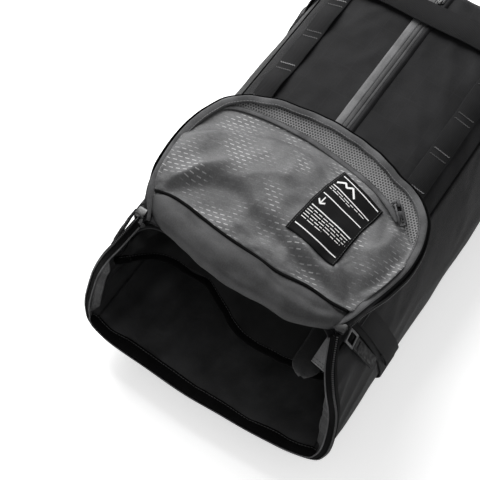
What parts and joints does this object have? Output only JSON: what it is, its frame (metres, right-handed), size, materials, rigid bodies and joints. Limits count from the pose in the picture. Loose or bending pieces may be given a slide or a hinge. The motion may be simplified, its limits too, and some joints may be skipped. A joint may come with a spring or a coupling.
{
  "type": "ski backpack",
  "caption": "Ski backpack lying on its back, top flap unzipped and folded forward, with a front zip, side straps and a padded harness.",
  "frame": {"origin": "on the surface the pack lies on, under the middle of the pack's overall box", "axes": "+Z from the wearer's side up to the pack's front, -Y towards the top end with the opening, +Y towards the bottom end, +X across the width"},
  "size_m": [0.406, 0.5762, 0.2094],
  "materials": {
    "shell_fabric": "matte coated nylon",
    "webbing": "woven webbing",
    "lining": "satin nylon lining",
    "pocket_fabric": "printed nylon",
    "mesh": "knitted hexagonal mesh",
    "binding": "stitched grosgrain binding",
    "label": "black woven label",
    "zip_tape": "coated zip tape",
    "zip_black": "moulded coil and slider",
    "padding": "spacer mesh over foam",
    "metal": "dark plated",
    "plastic": "moulded acetal",
    "rubber": "moulded grip",
    "frame_sheet": "extruded sheet",
    "aluminium": "satin"
  },
  "bodies": {
    "pack": {"front_panel_right": "shell_fabric", "front_panel_left": "shell_fabric", "side_panel_right": "shell_fabric", "side_panel_left": "shell_fabric", "bottom_panel": "shell_fabric", "back_panel": "padding", "side_lining_right": "lining", "side_lining_left": "lining", "front_lining": "lining", "frame_sheet": "frame_sheet", "frame_stay_right": "aluminium", "frame_stay_left": "aluminium", "spine_pad": "padding", "lumbar_pad": "padding", "compartment_divider": "shell_fabric", "tool_tab": "binding", "front_zip_tape": "zip_tape", "rim_zip_tape": "zip_black", "flap_zip_slider_right": "zip_black", "flap_zip_slider_left": "zip_black", "ladder_webbing_right": "webbing", "ladder_webbing_left": "webbing", "front_strap": "webbing", "front_strap_ladder_lock": "plastic", "side_strap_right": "webbing", "side_strap_left": "webbing"},
    "flap_band": {"flap_hinge_panel": "lining"},
    "flap": {"flap_shell": "shell_fabric", "flap_mesh": "mesh", "flap_pocket": "pocket_fabric", "flap_pocket_zip": "binding", "flap_binding": "binding", "flap_zip_tape": "zip_black", "flap_label": "label"},
    "pocket_slider": {"pocket_zip_slider": "metal"},
    "pocket_pull": {"pocket_zip_pull": "metal"},
    "front_slider": {"front_zip_slider": "zip_black"},
    "front_pull": {"front_zip_pull": "zip_black"},
    "flap_pull_right": {"flap_zip_pull_frame_right": "metal", "flap_zip_pull_tab_right": "rubber"},
    "flap_pull_left": {"flap_zip_pull_frame_left": "metal", "flap_zip_pull_tab_left": "rubber"},
    "strap_right": {"shoulder_strap_right": "padding", "strap_ladder_lock_right": "plastic", "strap_webbing_right": "webbing"},
    "strap_left": {"shoulder_strap_left": "padding", "strap_ladder_lock_left": "plastic", "strap_webbing_left": "webbing"},
    "sternum_right": {"sternum_webbing_right": "webbing", "sternum_buckle_socket": "plastic"},
    "sternum_left": {"sternum_webbing_left": "webbing", "sternum_buckle_prongs": "plastic"},
    "hip_right": {"hip_wing_right": "padding", "hip_webbing_right": "webbing", "hip_buckle_socket": "plastic"},
    "hip_left": {"hip_wing_left": "padding", "hip_webbing_left": "webbing", "hip_buckle_prongs": "plastic"},
    "handle": {"haul_handle": "webbing"}
  },
  "joints": [
    {"name": "flap_band_fold", "type": "hinge", "parent": "pack", "child": "flap_band", "pos_m": [0, -0.206, 0.192], "axis": [1, 0, 0], "range_deg": [0, 190]},
    {"name": "flap_fold", "type": "hinge", "parent": "flap_band", "child": "flap", "pos_m": [0, -0.174, 0.2], "axis": [1, 0, 0], "range_deg": [0, 54]},
    {"name": "pocket_zip_travel", "type": "hinge", "parent": "flap", "child": "pocket_slider", "pos_m": [0, -0.256, 0.204], "axis": [0, 0, 1], "range_deg": [0, 52]},
    {"name": "pocket_pull_turn", "type": "hinge", "parent": "pocket_slider", "child": "pocket_pull", "pos_m": [0.09885, -0.05332, 0.2075], "axis": [-0.7547, -0.6561, 0], "range_deg": [0, 95]},
    {"name": "front_zip_travel", "type": "slide", "parent": "pack", "child": "front_slider", "axis": [0, 1, 0], "range_m": [-0.21, 0]},
    {"name": "front_pull_turn", "type": "hinge", "parent": "front_slider", "child": "front_pull", "pos_m": [0, 0.2234, 0.1931], "axis": [1, 0, 0], "range_deg": [0, 85]},
    {"name": "flap_pull_right_swing", "type": "hinge", "parent": "pack", "child": "flap_pull_right", "pos_m": [0.129, -0.201, 0.187], "axis": [0.0953, -0.9665, -0.2382], "range_deg": [0, 80]},
    {"name": "flap_pull_left_swing", "type": "hinge", "parent": "pack", "child": "flap_pull_left", "pos_m": [-0.129, -0.205, 0.187], "axis": [-0.0484, 0.9915, -0.1209], "range_deg": [0, 80]},
    {"name": "shoulder_strap_right_swing", "type": "hinge", "parent": "pack", "child": "strap_right", "pos_m": [0.061, -0.198, 0.0132], "axis": [1, 0, 0], "range_deg": [-100, 0]},
    {"name": "shoulder_strap_left_swing", "type": "hinge", "parent": "pack", "child": "strap_left", "pos_m": [-0.061, -0.198, 0.0132], "axis": [1, 0, 0], "range_deg": [-100, 0]},
    {"name": "sternum_right_slide", "type": "slide", "parent": "strap_right", "child": "sternum_right", "axis": [0, 1, 0], "range_m": [-0.02, 0.04]},
    {"name": "sternum_left_slide", "type": "slide", "parent": "strap_left", "child": "sternum_left", "axis": [0, 1, 0], "range_m": [-0.02, 0.04]},
    {"name": "hip_wing_right_swing", "type": "hinge", "parent": "pack", "child": "hip_right", "pos_m": [0.088, 0.238, 0.0006], "axis": [0, 1, 0], "range_deg": [0, 85]},
    {"name": "hip_wing_left_swing", "type": "hinge", "parent": "pack", "child": "hip_left", "pos_m": [-0.088, 0.238, 0.0006], "axis": [0, 1, 0], "range_deg": [-85, 0]},
    {"name": "haul_handle_swing", "type": "hinge", "parent": "pack", "child": "handle", "pos_m": [0, -0.2314, 0.0045], "axis": [1, 0, 0], "range_deg": [0, 100]}
  ]
}
